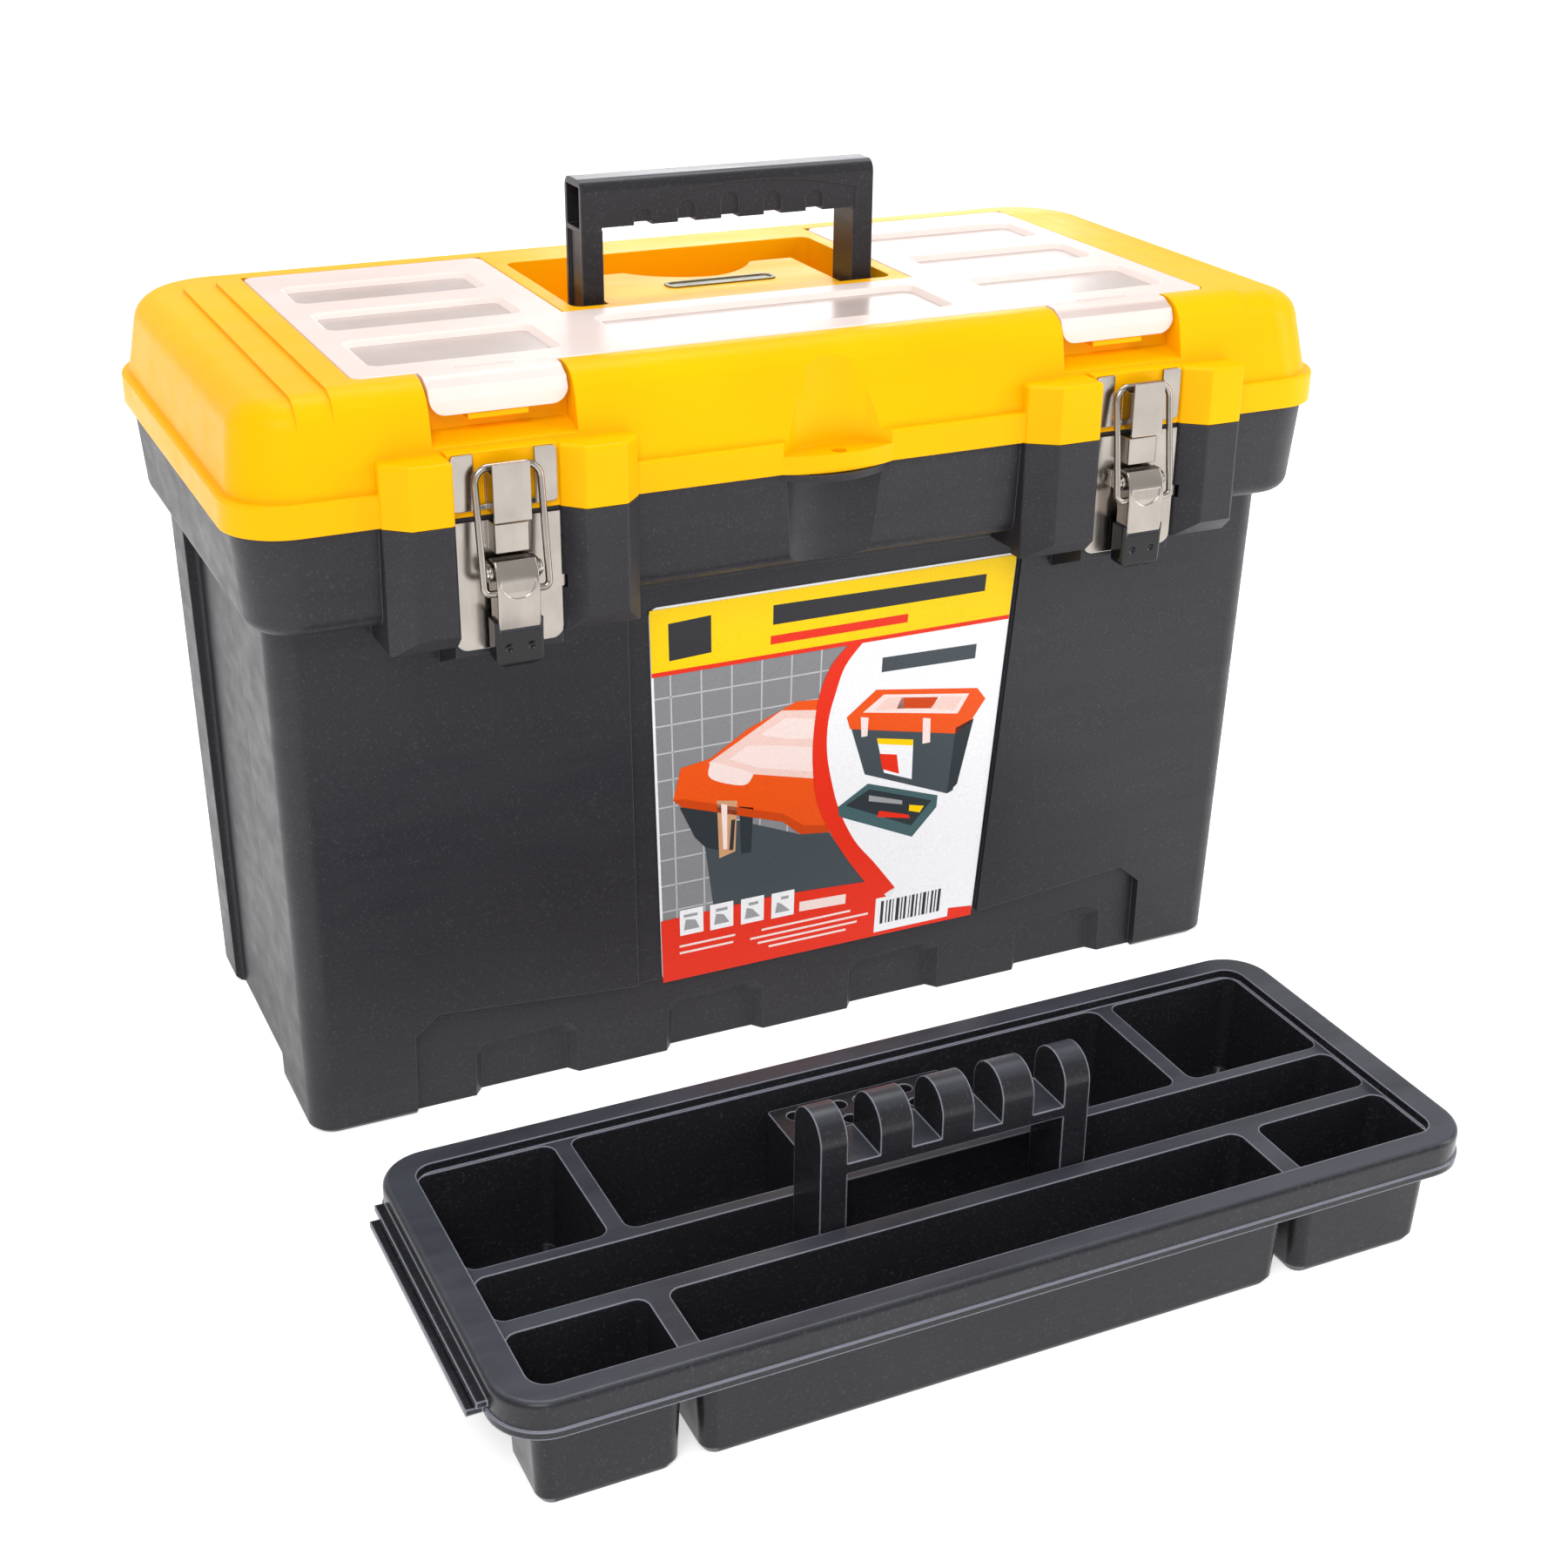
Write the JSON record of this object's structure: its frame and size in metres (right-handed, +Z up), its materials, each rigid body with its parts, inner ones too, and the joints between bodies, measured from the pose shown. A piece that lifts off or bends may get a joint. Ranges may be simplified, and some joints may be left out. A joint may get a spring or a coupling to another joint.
{
  "type": "toolbox with tray",
  "caption": "Hard-plastic toolbox with a hinged organizer lid, fold-down carry handle, wire-bail latches and a lift-out tray standing in front of it.",
  "frame": {"origin": "centre of the box's underside, on the floor", "axes": "+Z up, -Y out of the front with the latches, X along the box's length"},
  "size_m": [0.49, 0.4839, 0.38],
  "materials": {
    "lid_yellow": "satin",
    "base_black": "fine grain",
    "handle_black": "satin",
    "clear_cover": "frosted, with clearer windows",
    "latch_steel": "satin, bright edges",
    "tip_black": "satin",
    "pin_steel": "bright",
    "label_print": "printed film",
    "badge_metal": "satin",
    "tray_black": "satin"
  },
  "bodies": {
    "base": {"base_shell": "base_black", "label_sticker": "label_print", "hinge_pin_left": "pin_steel", "hinge_pin_right": "pin_steel", "latch_plate_left": "latch_steel", "latch_plate_right": "latch_steel", "lever_pivot_left": "pin_steel", "lever_pivot_right": "pin_steel"},
    "lid": {"lid_shell": "lid_yellow", "badge_plate": "badge_metal", "handle_pivot_pins": "pin_steel", "latch_keeper_left": "latch_steel", "latch_keeper_right": "latch_steel"},
    "cover": {"organizer_cover": "clear_cover"},
    "handle": {"carry_handle": "handle_black"},
    "lever_left": {"latch_lever_left": "latch_steel", "lever_tip_left": "tip_black"},
    "lever_right": {"latch_lever_right": "latch_steel", "lever_tip_right": "tip_black"},
    "bail_left": {"latch_bail_left": "latch_steel"},
    "bail_right": {"latch_bail_right": "latch_steel"},
    "tray": {"tray_pan": "tray_black", "tray_handle": "tray_black"}
  },
  "joints": [
    {"name": "lid_hinge", "type": "hinge", "parent": "base", "child": "lid", "pos_m": [0, 0.1236, 0.2815], "axis": [-1, 0, 0], "range_deg": [0, 105]},
    {"name": "cover_hinge", "type": "hinge", "parent": "lid", "child": "cover", "pos_m": [0, 0.078, 0.3266], "axis": [-1, 0, 0], "range_deg": [0, 90]},
    {"name": "handle_fold", "type": "hinge", "parent": "lid", "child": "handle", "pos_m": [0, -0.007, 0.309], "axis": [-1, 0, 0], "range_deg": [0, 90]},
    {"name": "lever_left", "type": "hinge", "parent": "base", "child": "lever_left", "pos_m": [-0.1413, -0.1308, 0.259], "axis": [-1, 0, 0], "range_deg": [0, 115]},
    {"name": "bail_left", "type": "hinge", "parent": "lever_left", "child": "bail_left", "pos_m": [-0.1413, -0.135, 0.252], "axis": [-1, 0, 0], "range_deg": [-115.5, 0.5]},
    {"name": "lever_right", "type": "hinge", "parent": "base", "child": "lever_right", "pos_m": [0.1413, -0.1308, 0.259], "axis": [-1, 0, 0], "range_deg": [0, 115]},
    {"name": "bail_right", "type": "hinge", "parent": "lever_right", "child": "bail_right", "pos_m": [0.1413, -0.135, 0.252], "axis": [-1, 0, 0], "range_deg": [-115.5, 0.5]},
    {"name": "tray_lift", "type": "slide", "parent": "base", "child": "tray", "axis": [0, 0, 1], "range_m": [0, 0.4]}
  ],
  "couplings": [
    {"joint": "bail_left", "follows": "lever_left", "ratio": -1},
    {"joint": "bail_right", "follows": "lever_right", "ratio": -1}
  ]
}
